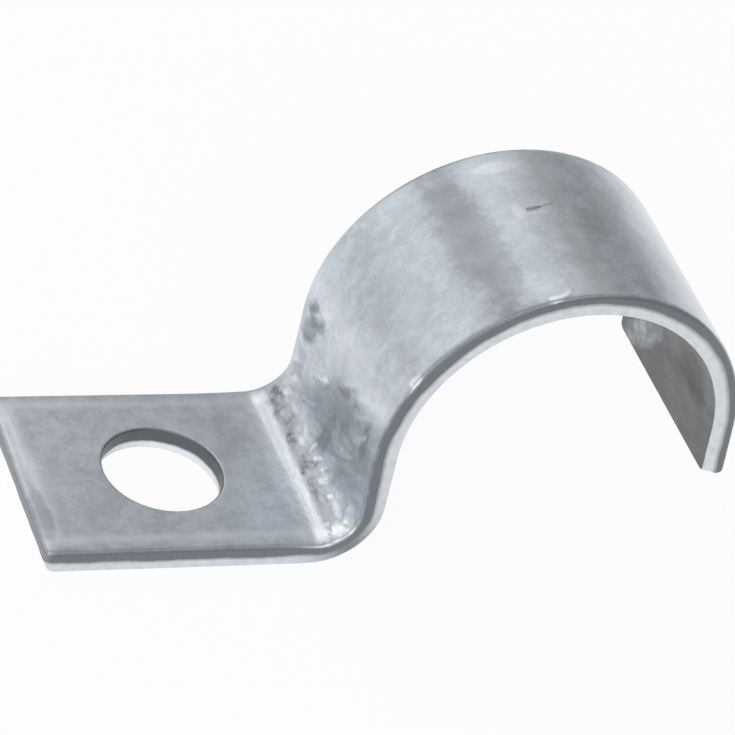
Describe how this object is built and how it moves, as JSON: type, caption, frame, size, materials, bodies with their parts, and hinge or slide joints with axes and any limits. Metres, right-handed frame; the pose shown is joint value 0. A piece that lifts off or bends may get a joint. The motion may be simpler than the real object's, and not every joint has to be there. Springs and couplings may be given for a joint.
{
  "type": "conduit strap",
  "caption": "One-hole conduit strap: a flat foot with a punched fixing hole, bent up into a round arch that hooks over a rigid conduit and ends in a short flared leg.",
  "frame": {"origin": "centre of the fixing hole, halfway through the thickness of the foot", "axes": "+X from the fixing hole towards the conduit, +Y along the conduit, +Z away from the wall, along the fixing screw"},
  "size_m": [0.0447, 0.015, 0.0216],
  "materials": {
    "zinc_coat": "galvanised sheet steel, satin, slightly mottled, with smooth and torn bands on its cut edges"
  },
  "bodies": {
    "root": {"strap": "zinc_coat"}
  },
  "joints": []
}
